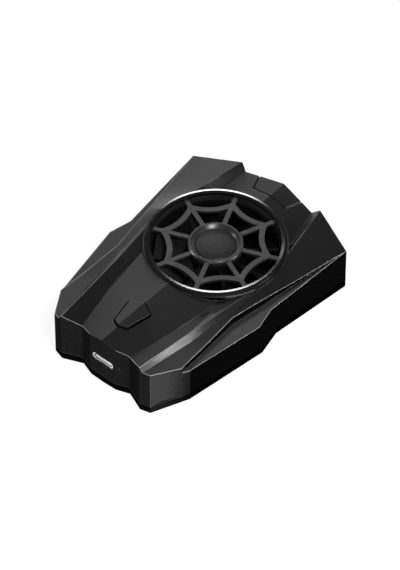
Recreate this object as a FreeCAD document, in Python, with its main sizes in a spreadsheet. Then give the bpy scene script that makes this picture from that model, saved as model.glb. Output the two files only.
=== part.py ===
import FreeCAD, Part
import math
import os
import re
import Sketcher

# Clip-on phone cooler: a faceted plastic housing with a 40 mm fan under a round web grille.
# Millimetres, +Z up. The origin is the centre of the footprint on the underside.
# The power socket is at the -Y end.

doc = FreeCAD.newDocument("PhoneCooler")
sheet = doc.addObject("Spreadsheet::Sheet", "Sizes")

# Driving sizes, in millimetres, degrees or counts
SIZES = {
    "length": (84.4, "overall length"),
    "half_width": (30.4, "centre to far corner"),
    "wall": (1.8, "housing wall"),
    "roof_wall": (1.8, "roof thickness"),
    "parting_z": (3.0, "height of the seam between the covers"),
    "floor_wall": (1.6, "bottom cover floor"),
    "fit_gap": (0.1, "gap between fixed pieces that slip together"),
    "nose_x": (4.9, "half width of the nose"),
    "nose_set": (0.9, "nose behind the wing tips"),
    "nose_side_set": (1.05, "nose shoulder behind the wing tips"),
    "notch_x": (9.2, "centre to the notch beside the nose"),
    "notch_set": (2.6, "notch behind the wing tips"),
    "tip_x": (15.4, "centre to the wing tip"),
    "corner_x": (18.8, "centre to the near corner"),
    "corner_set": (0.9, "near corner behind the wing tips"),
    "hip_x": (23.8, "centre to the hip of the upper cover"),
    "hip_set": (9.3, "hip behind the wing tips"),
    "shelf_hip_x": (25.2, "centre to the hip of the shelf"),
    "shelf_hip_set": (11.6, "shelf hip behind the wing tips"),
    "waist_x": (22.6, "centre to the waist of the upper cover"),
    "waist_y": (-8.4, "place of the waist"),
    "elbow_x": (29.7, "centre to the elbow of the shelf"),
    "elbow_y": (-4.8, "place of the elbow"),
    "step_x": (27.9, "centre to the step beside the elbow"),
    "step_y": (2.7, "place of the step"),
    "far_corner_set": (6.9, "far corner before the tail"),
    "far_tip_x": (15.4, "centre to the far wing tip"),
    "far_tip_set": (1.3, "far wing tip before the tail"),
    "far_notch_x": (13.0, "centre to the far notch"),
    "far_notch_set": (2.5, "far notch before the tail"),
    "edge_in": (0.5, "how far the rounded lower edge starts inside the outline"),
    "edge_mid": (0.15, "how far its middle is inside the outline"),
    "edge_mid_z": (0.2, "height of its middle"),
    "edge_top": (0.7, "height of its upper end"),
    "side_draft": (1.1, "how far the side walls lean in at the underside"),
    "elbow_draft": (3.4, "how far the elbow wall leans along the side"),
    "shelf_z": (14.5, "height of the shelf"),
    "shelf_step_z": (14.8, "height of the shelf at the step"),
    "shelf_far_z": (16.1, "height of the shelf at the far corner"),
    "fan_y": (10.3, "place of the fan axis"),
    "collar": (1.4, "wall of the collar round the hole"),
    "seat_z": (18.7, "height of the bezel seat"),
    "bezel_cover": (1.0, "how far the bezel covers the roof round the hole"),
    "bezel_lap": (0.6, "how far the bezel reaches in over the fan frame"),
    "bezel_edge": (0.6, "height of the bezel at its outer edge"),
    "bezel_lip": (1.0, "height of the bezel at its inner lip"),
    "bezel_slope": (0.6, "width of the sloping outer band"),
    "bezel_soft": (0.2, "width of the rounded inner lip"),
    "bezel_drop": (0.4, "height of the rounded inner lip"),
    "web_z": (17.8, "underside of the web"),
    "web_top": (19.2, "top of the web"),
    "spokes": (8, "spokes of the web"),
    "spoke_w": (1.4, "width of a spoke"),
    "arc_w": (1.7, "width of a web arc"),
    "node_r": (16.6, "radius where the arcs meet a spoke"),
    "arc_mid_r": (13.9, "radius of an arc at its middle"),
    "hub_r": (8.4, "outer radius of the grille hub"),
    "hub_land": (0.45, "flat top of the hub ring"),
    "hub_soft": (0.35, "chamfer of the hub ring"),
    "hub_drop": (0.4, "how far the hub reaches below the web"),
    "bowl_depth": (0.95, "depth of the bowl in the hub"),
    "cap_r": (6.2, "radius of the hub cap"),
    "cap_t": (0.5, "thickness of the hub cap"),
    "cap_soft": (0.15, "chamfer of the hub cap"),
    "cap_dome": (0.4, "rise of the hub cap at its middle"),
    "button_set": (8.3, "near point of the button behind the wing tips"),
    "button_l": (11.5, "length of the button"),
    "button_wide_l": (9.7, "near point of the button to its widest place"),
    "button_slim_l": (1.0, "near point of the button to its narrow end"),
    "button_wide_x": (4.2, "half width of the button at its widest place"),
    "button_slim_x": (2.4, "half width of the button at its narrow end"),
    "button_gap": (0.5, "gap round the button"),
    "button_top": (19.8, "crease of the button"),
    "button_slope": (0.6, "fall of the button top from crease to side"),
    "flange_z": (15.0, "underside of the button flange"),
    "flange_t": (0.8, "thickness of the button flange"),
    "flange_lip": (0.9, "how far the flange reaches past the gap"),
    "stem_r": (1.5, "radius of the button stem"),
    "switch_w": (5.0, "side of the switch body"),
    "switch_h": (2.2, "height of the switch body"),
    "well_r": (1.2, "radius of the switch well"),
    "well_floor": (1.0, "height of the floor of the well"),
    "plunger_r": (0.9, "radius of the switch plunger"),
    "plunger_h": (1.4, "height of the switch plunger"),
    "plunger_set": (1.6, "underside of the plunger above the board, which leaves 0.6 mm to press"),
    "board_z": (7.5, "underside of the main board"),
    "board_t": (1.0, "thickness of the main board"),
    "board_x": (11.0, "half width of the main board"),
    "board_set": (4.9, "near edge of the main board behind the wing tips"),
    "board_gap": (2.3, "far edge of the main board to the heat sink"),
    "board_post_set": (4.0, "board posts before the far edge of the board"),
    "board_post_x": (8.0, "centre to a board post"),
    "socket_w": (7.8, "width of the socket shell"),
    "socket_t": (2.6, "height of the socket shell"),
    "socket_l": (5.6, "length of the socket shell"),
    "socket_wall": (0.3, "sheet of the socket shell"),
    "socket_set": (0.3, "socket mouth behind the nose"),
    "socket_corner": (0.7, "cut corners of the socket shell"),
    "tongue_w": (6.2, "width of the socket tongue"),
    "tongue_t": (1.3, "thickness of the socket tongue"),
    "tongue_set": (0.4, "tongue behind the socket mouth"),
    "pipe_l": (2.8, "length of the light pipe"),
    "pipe_set": (0.6, "light pipe behind the shoulder of the nose"),
    "lamp_w": (1.6, "width of the indicator lamp"),
    "lamp_t": (1.0, "depth of the indicator lamp"),
    "lamp_over": (0.6, "top of the indicator lamp above the light pipe's axis"),
    "lamp_x": (5.7, "centre to the indicator lamp"),
    "lamp_z": (10.2, "height of the indicator lamp"),
    "lamp_r": (0.45, "radius of the light pipe"),
    "fan_z": (9.8, "underside of the fan frame"),
    "fan_height": (6.7, "height of the fan frame"),
    "frame_r": (20.5, "outer radius of the fan frame"),
    "duct_wall": (1.2, "wall of the fan duct"),
    "base_out": (0.2, "how far the motor base reaches past the rotor"),
    "base_t": (1.2, "thickness of the motor base"),
    "strut_w": (1.6, "width of a fan strut"),
    "struts": (4, "struts of the fan frame"),
    "ear_out": (4.0, "wall of the duct to a fan screw"),
    "ear_r": (2.6, "radius of a fan ear"),
    "ear_t": (1.6, "thickness of a fan ear"),
    "blades": (9, "blades of the impeller"),
    "rotor_r": (8.3, "outer radius of the impeller hub"),
    "tip_gap": (0.7, "gap between the blade tips and the duct"),
    "blade_t": (0.7, "thickness of a blade"),
    "blade_h": (4.2, "height of a blade"),
    "root_pitch": (50, "slope of a blade at its root, in degrees"),
    "tip_pitch": (33, "slope of a blade at its tip, in degrees"),
    "bend_run": (0.12, "share of the blade's run from its middle to its bend"),
    "bend_rise": (0.55, "share of the blade's height at its bend"),
    "root_lap": (0.5, "how far joined features reach into each other"),
    "rotor_z": (2.1, "underside of the impeller above the frame's underside"),
    "rotor_h": (4.4, "height of the impeller hub"),
    "rotor_top": (0.8, "thickness of the impeller hub top"),
    "rotor_wall": (0.7, "wall of the impeller hub"),
    "yoke_t": (0.4, "sheet of the rotor yoke"),
    "magnet_t": (0.9, "thickness of the rotor magnet"),
    "magnet_h": (2.8, "height of the rotor magnet"),
    "shaft_r": (0.8, "radius of the rotor shaft"),
    "shaft_gap": (0.05, "running gap of the shaft"),
    "bearing_r": (1.8, "outer radius of the bearing"),
    "tube_r": (2.6, "outer radius of the bearing tube"),
    "air_gap": (0.3, "gap between the stator core and the magnet"),
    "core_wall": (0.8, "ring of the stator core"),
    "shoe_t": (1.2, "depth of a pole shoe"),
    "shoe_angle": (32, "half angle of a pole shoe, in degrees"),
    "core_h": (1.6, "height of the stator core"),
    "poles": (4, "poles of the stator"),
    "pole_w": (1.8, "width of a stator pole"),
    "coil_t": (0.5, "thickness of a coil"),
    "coil_gap": (0.05, "gap at each end of a coil"),
    "board_margin": (1.2, "edge of the fan board inside the motor base"),
    "shaft_set": (0.3, "lower end of the shaft above the underside of the frame"),
    "fan_board_t": (0.6, "thickness of the fan board"),
    "sink_out": (0.5, "how far the heat sink reaches past the fan frame"),
    "sink_z": (6.0, "underside of the heat sink"),
    "sink_t": (1.2, "base of the heat sink"),
    "fins": (13, "fins of the heat sink"),
    "fin_t": (0.9, "thickness of a fin"),
    "fin_pitch": (3.1, "distance from fin to fin"),
    "cooler_w": (30.0, "side of the cooling element"),
    "ceramic_t": (0.7, "thickness of a ceramic plate"),
    "pellets": (8, "pellets along one side"),
    "pellet_w": (1.6, "side of a pellet"),
    "gasket_band": (3.0, "width of the foam round the cooling element"),
    "plate_margin": (1.3, "how far the cold plate face reaches past the cooling element"),
    "plate_t": (0.8, "thickness of the cold plate flange"),
    "pad_t": (0.5, "thickness of the contact pad"),
    "post_r": (2.4, "radius of a screw post"),
    "pilot_r": (1.05, "radius of a screw hole"),
    "screw_r": (1.0, "radius of a screw shank"),
    "head_r": (1.8, "radius of a screw head"),
    "head_t": (1.1, "height of a screw head"),
    "slot_l": (2.2, "length of each arm pair of a screw head's cross"),
    "slot_w": (0.5, "width of an arm of the cross"),
    "slot_h": (0.6, "depth of the cross"),
    "head_sink": (0.3, "depth of a housing screw's head in the underside"),
    "pilot_l": (7.0, "depth of a housing screw's hole above the seam"),
    "fan_pilot_l": (4.0, "depth of a fan screw's hole above its ear"),
    "housing_screw_l": (8.0, "shank of a housing screw"),
    "board_screw_l": (5.0, "shank of a board screw"),
    "fan_screw_l": (5.0, "shank of a fan screw"),
    "near_post_x": (14.0, "centre to a near housing screw"),
    "near_post_set": (5.9, "near housing screws behind the wing tips"),
    "far_post_x": (24.0, "centre to a far housing screw"),
    "far_post_set": (10.7, "far housing screws before the tail"),
    "vent_w": (1.8, "width of an outlet slot"),
    "vent_h": (5.0, "height of an outlet slot"),
    "vent_z": (6.6, "lower end of the outlet slots"),
    "vent_pitch": (3.4, "distance from slot to slot"),
    "vents": (7, "outlet slots"),
    "seam_w": (0.5, "width of the tail seam"),
    "seam_depth": (0.5, "depth of the tail seam"),
    "seam_set": (6.6, "tail seam before the tail"),
    "seam_x": (6.3, "half width of the tail seam"),
    "seam_end_x": (8.6, "half width where the seam leaves the tail"),
    "spare": (1.0, "how far construction shapes reach past the shape that they trim"),
    "section_out": (2.6, "how far the roof sections reach past the sides"),
    "section_z": (9.0, "lower end of the roof sections"),
    "hip_section_set": (18.2, "second roof section behind the wing tips"),
    "back_section_set": (17.7, "fifth roof section behind the fan axis"),
}

# Sizes that follow from the driving ones
DERIVED = {
    "far_corner_y": ("length / 2 - far_corner_set", "place of the far corner"),
    "section_x": ("half_width + section_out", "half width of the roof sections"),
    "fan_bore": ("frame_r + fit_gap", "radius of the hole for the grille"),
    "bezel_r": ("fan_bore + bezel_cover", "outer radius of the bezel"),
    "bezel_inner": ("frame_r - bezel_lap", "radius of the bezel opening"),
    "button_near": ("-length / 2 + button_set", "near point of the button"),
    "button_slim_y": ("button_near + button_slim_l", "narrow end of the button"),
    "button_wide_y": ("button_near + button_wide_l", "widest place of the button"),
    "button_far": ("button_near + button_l", "far point of the button"),
    "switch_y": ("button_near + button_l / 2", "place of the switch"),
    "board_top": ("board_z + board_t", "top of the main board"),
    "stem_z": ("board_top + plunger_set + plunger_h", "lower end of the button stem"),
    "frame_top": ("fan_z + fan_height", "top of the fan frame"),
    "duct_r": ("frame_r - duct_wall", "radius of the fan duct"),
    "tip_r": ("duct_r - tip_gap", "radius of the blade tips"),
    "base_r": ("rotor_r + base_out", "radius of the motor base"),
    "ear_reach": ("frame_r + ear_out", "fan axis to a fan screw"),
    "yoke_r": ("rotor_r - rotor_wall", "outer radius of the rotor yoke"),
    "magnet_r": ("yoke_r - yoke_t - magnet_t", "inner radius of the rotor magnet"),
    "core_r": ("magnet_r - air_gap", "outer radius of the stator core"),
    "neck_r": ("core_r - shoe_t", "radius where a pole widens into its shoe"),
    "core_inner": ("tube_r + core_wall", "outer radius of the core's ring"),
    "core_z": ("fan_z + rotor_z + (magnet_h - core_h) / 2", "underside of the stator core"),
    "sink_r": ("frame_r + sink_out", "radius of the heat sink"),
    "flange_top": ("floor_wall + plate_t", "top of the cold plate flange"),
    "gasket_w": ("cooler_w + 2 * gasket_band", "outer side of the foam gasket"),
    "plate_w": ("cooler_w + 2 * plate_margin", "side of the cold plate face"),
    "board_near": ("-length / 2 + board_set", "near edge of the main board"),
    "board_far": ("fan_y - sink_r - board_gap", "far edge of the main board"),
    "board_post_y": ("board_far - board_post_set", "place of the board posts"),
    "near_post_y": ("-length / 2 + near_post_set", "place of the near housing screws"),
    "far_post_y": ("length / 2 - far_post_set", "place of the far housing screws"),
    "seam_y": ("length / 2 - seam_set", "place of the tail seam"),
    "pipe_mouth": ("-length / 2 + nose_side_set + pipe_set", "mouth of the light pipe"),
    "socket_mouth": ("-length / 2 + nose_set + socket_set", "mouth of the socket"),
    "near_place": ("-length / 2 - spare", "first roof section"),
    "hip_place": ("-length / 2 + hip_section_set", "second roof section"),
    "waist_place": ("waist_y", "third roof section"),
    "fan_place": ("fan_y", "fourth roof section"),
    "back_place": ("fan_y + back_section_set", "fifth roof section"),
    "far_place": ("length / 2 + spare", "last roof section"),
}

# Cross-sections of the faceted roof, near to far: heights and half widths of its lines
STATIONS = {
    "near": {"ridge_z": 19.2, "valley_x": 8.7, "valley_z": 17.0, "crest_x": 15.35,
             "crest_z": 19.2, "foot_x": 16.3, "foot_z": 17.3, "rim_z": 16.7},
    "hip": {"ridge_z": 19.2, "valley_x": 12.7, "valley_z": 17.4, "crest_x": 17.3,
            "crest_z": 18.75, "foot_x": 19.1, "foot_z": 16.8, "rim_z": 16.6},
    "waist": {"ridge_z": 19.15, "valley_x": 14.9, "valley_z": 17.4, "crest_x": 19.1,
              "crest_z": 18.35, "foot_x": 20.6, "foot_z": 17.6, "rim_z": 16.4},
    "fan": {"ridge_z": 19.1, "valley_x": 16.5, "valley_z": 16.9, "crest_x": 21.5,
            "crest_z": 18.4, "foot_x": 22.0, "foot_z": 18.2, "rim_z": 14.5},
    "back": {"ridge_z": 19.05, "valley_x": 15.5, "valley_z": 16.0, "crest_x": 17.8,
             "crest_z": 18.7, "foot_x": 18.4, "foot_z": 18.6, "rim_z": 15.5},
    "far": {"ridge_z": 19.0, "valley_x": 12.4, "valley_z": 17.7, "crest_x": 14.95,
            "crest_z": 19.0, "foot_x": 15.4, "foot_z": 18.9, "rim_z": 15.6},
}
for station, values in STATIONS.items():
    for line, value in values.items():
        SIZES[station + "_" + line] = (value, "roof at the " + station + ": " + line)

rows = [(alias, str(value), note) for alias, (value, note) in SIZES.items()]
rows += [(alias, "=" + text, note) for alias, (text, note) in DERIVED.items()]
for row, (alias, content, note) in enumerate(rows, start=1):
    sheet.setAlias("B" + str(row), alias)
for row, (alias, content, note) in enumerate(rows, start=1):
    sheet.set("A" + str(row), note)
    sheet.set("B" + str(row), content)
doc.recompute()

WORD = re.compile(r"[a-z][a-z_]*[a-z]")


def size(alias):
    """Number in the sheet under this name."""
    return float(sheet.get(alias))


def formula(text):
    """Expression text in which each size name points at its cell."""
    def cell(found):
        word = found.group()
        return "Sizes." + word if word in SIZES or word in DERIVED else word
    return WORD.sub(cell, str(text))


def bind(thing, prop, text):
    thing.setExpression(prop, formula(text))


def turned(axis, degrees):
    """Placement at the origin, turned about an axis."""
    return FreeCAD.Placement(FreeCAD.Vector(0, 0, 0), FreeCAD.Rotation(FreeCAD.Vector(*axis), degrees))


def move(thing, x=0, y=0, z=0):
    """Tie a thing's place to sizes."""
    for axis, text in (("x", x), ("y", y), ("z", z)):
        if str(text) != "0":
            bind(thing, "Placement.Base." + axis, text)
    return thing


# Sketches

# Radius on which corners are first drawn, before their constraints place them
ROUGH_R = 10

# Sides of small rods and holes
SMALL_SIDES = 12


def polygon(sketch, corners):
    """Closed outline through corners, each corner placed from the origin by two formulas."""
    count = len(corners)
    first = sketch.GeometryCount
    for index in range(count):
        angle = 2 * math.pi * index / count
        turn = 2 * math.pi * (index + 1) / count
        start = FreeCAD.Vector(ROUGH_R * math.cos(angle), ROUGH_R * math.sin(angle), 0)
        end = FreeCAD.Vector(ROUGH_R * math.cos(turn), ROUGH_R * math.sin(turn), 0)
        sketch.addGeometry(Part.LineSegment(start, end), False)
    for index in range(count):
        following = (index + 1) % count
        sketch.addConstraint(Sketcher.Constraint("Coincident", first + index, 2, first + following, 1))
    for index, (across, along) in enumerate(corners):
        number = sketch.addConstraint(Sketcher.Constraint("DistanceX", -1, 1, first + index, 1, 1.0))
        bind(sketch, "Constraints[%d]" % number, across)
        number = sketch.addConstraint(Sketcher.Constraint("DistanceY", -1, 1, first + index, 1, 1.0))
        bind(sketch, "Constraints[%d]" % number, along)


def rectangle(sketch, left, right, low, high):
    polygon(sketch, [(left, low), (right, low), (right, high), (left, high)])


def small_round(sketch, radius, across):
    """Twelve-sided outline of a small rod or hole, its centre on the first axis."""
    angles = [360 // SMALL_SIDES * number for number in range(SMALL_SIDES)]
    polygon(sketch, [("%s + %s * cos(%d)" % (across, radius, angle), "%s * sin(%d)" % (radius, angle))
                     for angle in angles])


def free_sketch(name, plane="XY", offset="0"):
    """Sketch that belongs to no body, on a plane moved along its normal axis."""
    sketch = doc.addObject("Sketcher::SketchObject", name)
    if plane == "XY":
        move(sketch, z=offset)
    if plane == "XZ":
        sketch.Placement = turned((1, 0, 0), 90)
        move(sketch, y=offset)
    if plane == "YZ":
        sketch.Placement = turned((1, 1, 1), 120)
        move(sketch, x=offset)
    return sketch


def mirrored(half):
    """Whole outline from its right half, listed from one end of the centre line to the other."""
    left = [("-(" + across + ")", along) for across, along in reversed(half) if across != "0"]
    return half + left


# Solids made of primitives and swept outlines

def box(name, x, y, z, dx, dy, dz):
    """Box from its centre in X and Y and its underside."""
    block = doc.addObject("Part::Box", name)
    bind(block, "Length", dx)
    bind(block, "Width", dy)
    bind(block, "Height", dz)
    bind(block, "Placement.Base.x", "(%s) - (%s) / 2" % (x, dx))
    bind(block, "Placement.Base.y", "(%s) - (%s) / 2" % (y, dy))
    bind(block, "Placement.Base.z", z)
    return block


def cylinder(name, radius, height, x="0", y="0", z="0"):
    rod = doc.addObject("Part::Cylinder", name)
    bind(rod, "Radius", radius)
    bind(rod, "Height", height)
    return move(rod, x, y, z)


def small_rod(name, radius, height, x="0", y="0", z="0"):
    """Small rod or hole with a twelve-sided outline."""
    rod = doc.addObject("Part::Prism", name)
    rod.Polygon = SMALL_SIDES
    bind(rod, "Circumradius", radius)
    bind(rod, "Height", height)
    return move(rod, x, y, z)


def lying_rod(name, radius, length, x, y, z):
    """Small rod along Y, from its far end towards the near side."""
    rod = doc.addObject("Part::Prism", name)
    rod.Polygon = SMALL_SIDES
    rod.Placement = turned((1, 0, 0), 90)
    bind(rod, "Circumradius", radius)
    bind(rod, "Height", length)
    return move(rod, x, y, z)


def extrude(name, sketch, height):
    prism = doc.addObject("Part::Extrusion", name)
    prism.Base = sketch
    prism.DirMode = "Normal"
    prism.Solid = True
    bind(prism, "LengthFwd", height)
    return prism


def loft(name, sections):
    skin = doc.addObject("Part::Loft", name)
    skin.Sections = sections
    skin.Solid = True
    skin.Ruled = True
    return skin


def fuse(name, shapes):
    whole = doc.addObject("Part::MultiFuse", name)
    whole.Shapes = shapes
    return whole


def cut(name, base, tools):
    tool = tools[0] if len(tools) == 1 else fuse(name + "Tools", tools)
    result = doc.addObject("Part::Cut", name)
    result.Base = base
    result.Tool = tool
    return result


def common(name, shapes):
    shared = doc.addObject("Part::MultiCommon", name)
    shared.Shapes = shapes
    return shared


def lowered(name, source, depth):
    """Copy of a shape, lower by a size."""
    twin = doc.addObject("Part::Compound", name)
    twin.Links = [source]
    return move(twin, z="-(" + depth + ")")


# Bodies built from sketches and features

def new_body(label, z="0", y="fan_y"):
    body = doc.addObject("PartDesign::Body", label)
    return move(body, y=y, z=z)


def body_sketch(body, name, role, offset="0"):
    sketch = body.newObject("Sketcher::SketchObject", name)
    plane = [feature for feature in body.Origin.OriginFeatures if feature.Role == role][0]
    sketch.AttachmentSupport = [(plane, "")]
    sketch.MapMode = "FlatFace"
    if offset != "0":
        bind(sketch, "AttachmentOffset.Base.z", offset)
    return sketch


def revolve(body, name, corners):
    """Ring or disc turned about Z from an outline of radii and heights."""
    sketch = body_sketch(body, name + "Profile", "XZ_Plane")
    polygon(sketch, corners)
    turned = body.newObject("PartDesign::Revolution", name)
    turned.Profile = sketch
    turned.ReferenceAxis = (sketch, ["V_Axis"])
    turned.Angle = 360
    body.Tip = turned
    return turned


def pad(body, name, sketch, height):
    raised = body.newObject("PartDesign::Pad", name)
    raised.Profile = sketch
    bind(raised, "Length", height)
    body.Tip = raised
    return raised


def pocket(body, name, sketch, depth, upward=True):
    """Cut from the sketch plane; upward cuts towards +Z."""
    hole = body.newObject("PartDesign::Pocket", name)
    hole.Profile = sketch
    hole.Reversed = upward
    bind(hole, "Length", depth)
    body.Tip = hole
    return hole


def around(body, name, features, count, sketch):
    """Repeat features about the body's Z axis."""
    ring = body.newObject("PartDesign::PolarPattern", name)
    ring.Originals = features
    ring.Axis = (sketch, ["N_Axis"])
    ring.Angle = 360
    bind(ring, "Occurrences", count)
    body.Tip = ring
    return ring


def ring_body(label, inner, outer, z, height):
    """Plain ring on the fan axis."""
    body = new_body(label, z)
    revolve(body, label + "Ring", [(inner, "0"), (outer, "0"), (outer, height), (inner, height)])
    return body


NEAR = "-length / 2 + "
FAR = "length / 2 - "

# Half outlines, from the nose to the tail
near_end = [("0", NEAR + "nose_set"), ("nose_x", NEAR + "nose_side_set"), ("notch_x", NEAR + "notch_set"),
            ("tip_x", "-length / 2"), ("corner_x", NEAR + "corner_set")]
far_end = [("half_width", "far_corner_y"), ("far_tip_x", FAR + "far_tip_set"),
           ("far_notch_x", FAR + "far_notch_set"), ("0", "length / 2")]
cover_sides = [("hip_x", NEAR + "hip_set"), ("waist_x", "waist_y")]
shelf_sides = [("shelf_hip_x", NEAR + "shelf_hip_set"), ("elbow_x", "elbow_y"), ("step_x", "step_y")]
under_sides = [("shelf_hip_x - side_draft", NEAR + "shelf_hip_set + side_draft"),
               ("elbow_x - side_draft", "elbow_y + elbow_draft"),
               ("step_x - side_draft", "step_y + elbow_draft + side_draft")]

cover_outline = near_end + cover_sides + far_end
shelf_outline = near_end + shelf_sides + far_end
under_outline = near_end + under_sides + far_end


# Housing

def outline_sketch(name, half, offset):
    sketch = free_sketch(name, "XY", offset)
    polygon(sketch, mirrored(half))
    return sketch


def inset(name, sketch, distance):
    """Outline moved inwards by a wall."""
    offset = doc.addObject("Part::Offset2D", name)
    offset.Source = sketch
    offset.Join = "Intersection"
    bind(offset, "Value", "-(" + distance + ")")
    return offset


def roof_section(station):
    sketch = free_sketch("Roof" + station.title(), "XZ", station + "_place")
    half = [("0", station + "_ridge_z")]
    for line in ("valley", "crest", "foot"):
        half.append((station + "_" + line + "_x", station + "_" + line + "_z"))
    half.append(("section_x", station + "_rim_z"))
    half.append(("section_x", "section_z"))
    polygon(sketch, mirrored(half))
    return sketch


roof = loft("Roof", [roof_section(station) for station in STATIONS])
foot_face = outline_sketch("FootOutline", under_outline, "0")
edge_face = outline_sketch("EdgeOutline", under_outline, "edge_mid_z")
under_face = outline_sketch("UnderOutline", under_outline, "edge_top")
shelf_face = outline_sketch("ShelfOutline", shelf_outline, "shelf_far_z + spare")
cover_face = outline_sketch("CoverOutline", cover_outline, "section_z + spare")

lower_block = loft("LowerBlock", [inset("Foot", foot_face, "edge_in"), inset("Edge", edge_face, "edge_mid"),
                                  under_face, shelf_face])
shelf_side = free_sketch("ShelfSide", "YZ", "-section_x")
polygon(shelf_side, [("-length", "-spare"), ("length", "-spare"), ("length", "shelf_far_z + spare"),
                     ("far_corner_y", "shelf_far_z"), ("step_y", "shelf_step_z"), ("-length", "shelf_z")])
shelf_block = extrude("ShelfBlock", shelf_side, "2 * section_x")
lower = common("Lower", [lower_block, shelf_block])
cover_prism = extrude("CoverPrism", cover_face, "button_top")
upper = common("Upper", [cover_prism, roof])

seam_plane = box("SeamPlane", "0", "0", "parting_z", "4 * half_width", "2 * length", "2 * button_top")
outer = fuse("OuterHousing", [lower, upper])

lower_inside = loft("LowerInside", [inset("UnderInside", under_face, "wall"),
                                    inset("ShelfInside", shelf_face, "wall")])
inside_band = box("InsideBand", "0", "0", "floor_wall", "4 * half_width", "2 * length",
                  "shelf_z - roof_wall - floor_wall")
lower_cavity = common("LowerCavity", [lower_inside, inside_band])
cover_inside = extrude("CoverInside", inset("CoverInsideOutline", cover_face, "wall"), "button_top")
roof_inside = lowered("RoofInside", roof, "roof_wall")
upper_cavity = common("UpperCavity", [cover_inside, roof_inside])
cavity = fuse("Cavity", [lower_cavity, upper_cavity])

screw_places = [("near_post_x", "near_post_y"), ("-near_post_x", "near_post_y"),
                ("far_post_x", "far_post_y"), ("-far_post_x", "far_post_y")]
EARS = 4
EAR_TURN = 45
ear_angles = [EAR_TURN + 360 // EARS * number for number in range(EARS)]
ear_places = [("ear_reach * cos(%d)" % angle, "fan_y + ear_reach * sin(%d)" % angle) for angle in ear_angles]
board_places = [("board_post_x", "board_post_y"), ("-board_post_x", "board_post_y")]


def button_outline(name, z, grow):
    """Six-cornered outline of the button, moved outwards by a gap."""
    sketch = free_sketch(name, "XY", z)
    half = [("0", "button_far + " + grow), ("button_wide_x + " + grow, "button_wide_y + (%s) / 4" % grow),
            ("button_slim_x + " + grow, "button_slim_y - (%s) / 4" % grow), ("0", "button_near - " + grow)]
    polygon(sketch, mirrored(half))
    return sketch


def socket_outline(name, y, shrink):
    """Outline of the socket shell with cut corners, moved inwards by a sheet or gap."""
    sketch = free_sketch(name, "XZ", y)
    low, high = "board_top + " + shrink, "board_top + socket_t - (%s)" % shrink
    side = "socket_w / 2 - (%s)" % shrink
    half = [("0", low), (side + " - socket_corner", low), (side, low + " + socket_corner"),
            (side, high + " - socket_corner"), (side + " - socket_corner", high), ("0", high)]
    polygon(sketch, mirrored(half))
    return sketch


def posts(name, places, radius, low, top):
    return [small_rod(name + str(number), radius, "%s - (%s)" % (top, low), x, y, low)
            for number, (x, y) in enumerate(places, start=1)]


def top_cover():
    """Faceted upper shell with the fan opening, the button opening and the socket slot."""
    upper_shell = common("UpperShell", [outer, seam_plane])
    collar = cylinder("Collar", "fan_bore + collar", "seat_z - frame_top + spare", "0", "fan_y",
                      "frame_top - spare")
    shell = fuse("Shell", [cut("OpenShell", upper_shell, [cavity]), collar])
    roof_core = lowered("RoofCore", roof, "roof_wall / 2")
    pillars = posts("ScrewPost", screw_places, "post_r", "parting_z", "button_top")
    pillars += posts("FanPost", ear_places, "post_r", "fan_z + ear_t", "button_top")
    carried = common("Posts", [fuse("AllPosts", pillars), roof_core])
    body = fuse("CoverBody", [shell, carried])

    bore = cylinder("FanOpening", "fan_bore", "button_top", "0", "fan_y", "floor_wall")
    seat = cylinder("BezelSeat", "bezel_r + fit_gap", "button_top", "0", "fan_y", "seat_z")
    opening = extrude("ButtonOpening", button_outline("ButtonOpeningOutline", "flange_z", "button_gap"),
                      "button_top")
    pilots = posts("PostPilot", screw_places, "pilot_r", "0", "parting_z + pilot_l")
    pilots += posts("FanPilot", ear_places, "pilot_r", "0", "fan_z + ear_t + fan_pilot_l")
    socket = extrude("SocketSlot", socket_outline("SlotOutline", "-length / 2 + 2 * wall", "-fit_gap"),
                     "4 * wall")
    lamp_hole = lying_rod("LampHole", "lamp_r + fit_gap / 2", "4 * wall", "lamp_x",
                          "-length / 2 + 2 * wall + nose_side_set", "lamp_z")
    slots = [box("Outlet" + str(number), "%d * vent_pitch" % number, "length / 2", "vent_z", "vent_w",
                 "6 * wall", "vent_h")
             for number in range(-(int(size("vents")) // 2), int(size("vents")) // 2 + 1)]
    seam_sketch = free_sketch("TailSeam", "XY", "shelf_z")
    outer_side = [("seam_end_x + seam_w", "length / 2"), ("seam_x + seam_w / 2", "seam_y - seam_w / 2")]
    inner_side = [("seam_end_x", "length / 2"), ("seam_x", "seam_y + seam_w / 2")]
    polygon(seam_sketch, outer_side + [("-(%s)" % x, y) for x, y in reversed(outer_side)]
            + [("-(%s)" % x, y) for x, y in inner_side] + list(reversed(inner_side)))
    seam_band = extrude("SeamBand", seam_sketch, "button_top")
    seam = cut("SeamGroove", seam_band, [lowered("SeamFloor", roof, "seam_depth")])
    cut("top_cover", body, [bore, seat, opening, socket, lamp_hole, seam] + pilots + slots)


def bottom_cover():
    """Shallow lower shell with a rounded edge, screw bosses and a window for the cold plate."""
    below = cut("BelowSeam", lower, [seam_plane])
    tray = cut("Tray", below, [common("TrayCavity", [cavity, below])])
    bosses = posts("Boss", screw_places, "post_r + head_r / 2", "0", "parting_z")
    board_posts = posts("BoardPost", board_places, "post_r", "floor_wall", "board_z")
    body = fuse("TrayBody", [tray] + bosses + board_posts)
    window = box("PlateWindow", "0", "fan_y", "-spare", "plate_w + 2 * fit_gap", "plate_w + 2 * fit_gap",
                 "2 * parting_z")
    holes = posts("BossHole", screw_places, "pilot_r", "-spare", "2 * parting_z")
    holes += posts("HeadRecess", screw_places, "head_r + fit_gap", "-spare", "head_t + head_sink")
    holes += posts("BoardPilot", board_places, "pilot_r", "floor_wall", "2 * board_z")
    cut("bottom_cover", body, [window] + holes)


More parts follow.
